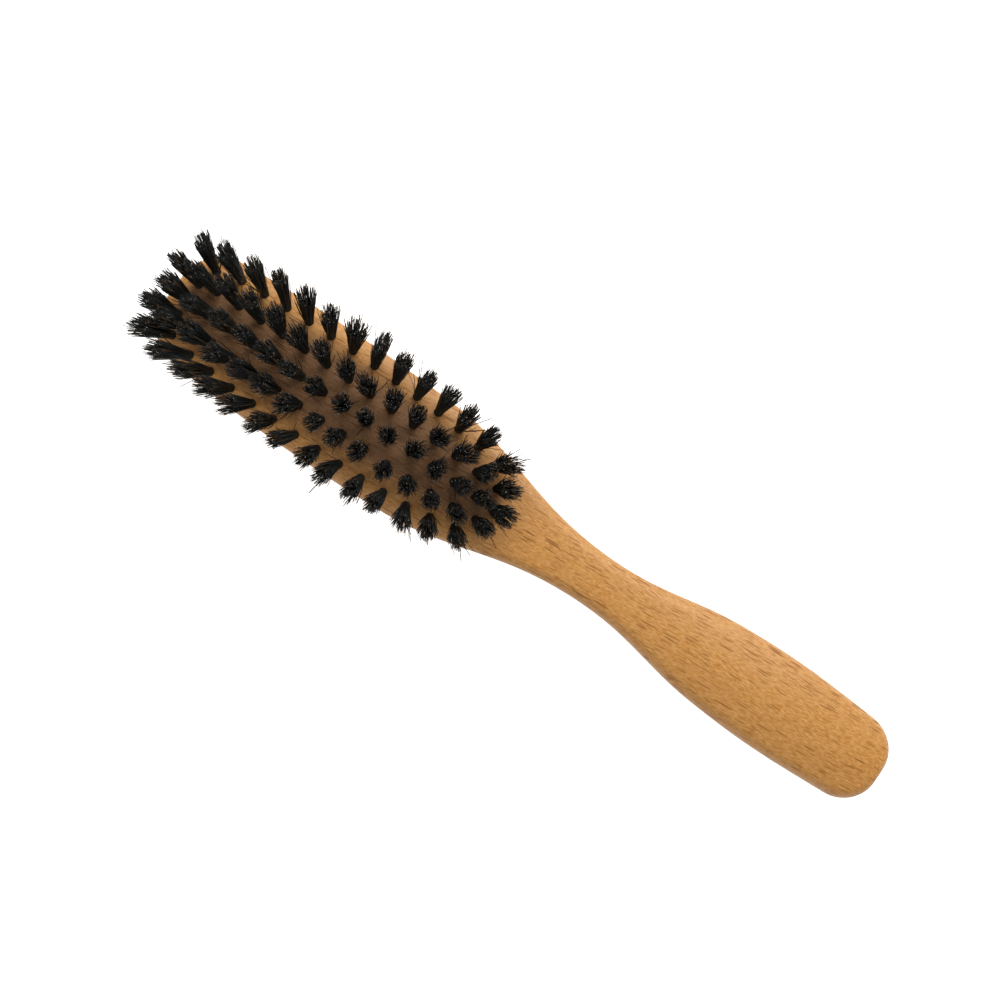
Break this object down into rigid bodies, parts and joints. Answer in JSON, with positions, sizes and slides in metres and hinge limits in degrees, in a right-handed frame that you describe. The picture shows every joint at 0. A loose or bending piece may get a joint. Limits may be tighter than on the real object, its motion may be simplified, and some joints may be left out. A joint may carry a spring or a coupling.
{
  "type": "body dry brush",
  "caption": "Beech body dry brush: one-piece wooden head and waisted handle with staggered rows of dark natural bristle tufts that fan outwards, each stapled in its own hole.",
  "frame": {"origin": "on the flat back face of the brush, under the middle of the bristle field", "axes": "+X along the brush from the head to the end of the handle, +Y across it, +Z out of the bristle face"},
  "size_m": [0.219, 0.0386, 0.0252],
  "materials": {
    "beech": "oiled, satin",
    "bristle": "natural bristle, slightly glossy",
    "anchor_wire": "flat drawn wire"
  },
  "bodies": {
    "root": {"brush_body": "beech", "tuft_rank_01": "bristle", "tuft_rank_02": "bristle", "tuft_rank_03": "bristle", "tuft_rank_04": "bristle", "tuft_rank_05": "bristle", "tuft_rank_06": "bristle", "tuft_rank_07": "bristle", "tuft_rank_08": "bristle", "tuft_rank_09": "bristle", "tuft_rank_10": "bristle", "tuft_rank_11": "bristle", "tuft_rank_12": "bristle", "tuft_rank_13": "bristle", "tuft_rank_14": "bristle", "tuft_rank_15": "bristle", "tuft_rank_16": "bristle", "tuft_rank_17": "bristle", "tuft_rank_18": "bristle", "tuft_rank_19": "bristle", "tuft_rank_20": "bristle", "tuft_rank_21": "bristle", "tuft_rank_22": "bristle", "tuft_rank_23": "bristle", "tuft_rank_24": "bristle", "tuft_rank_25": "bristle", "tuft_rank_26": "bristle", "tuft_rank_27": "bristle", "tuft_rank_28": "bristle", "tuft_rank_29": "bristle", "tuft_rank_30": "bristle", "anchors_row_a": "anchor_wire", "anchors_row_b": "anchor_wire", "anchors_row_c": "anchor_wire", "anchors_row_d": "anchor_wire", "anchors_row_e": "anchor_wire"}
  },
  "joints": []
}
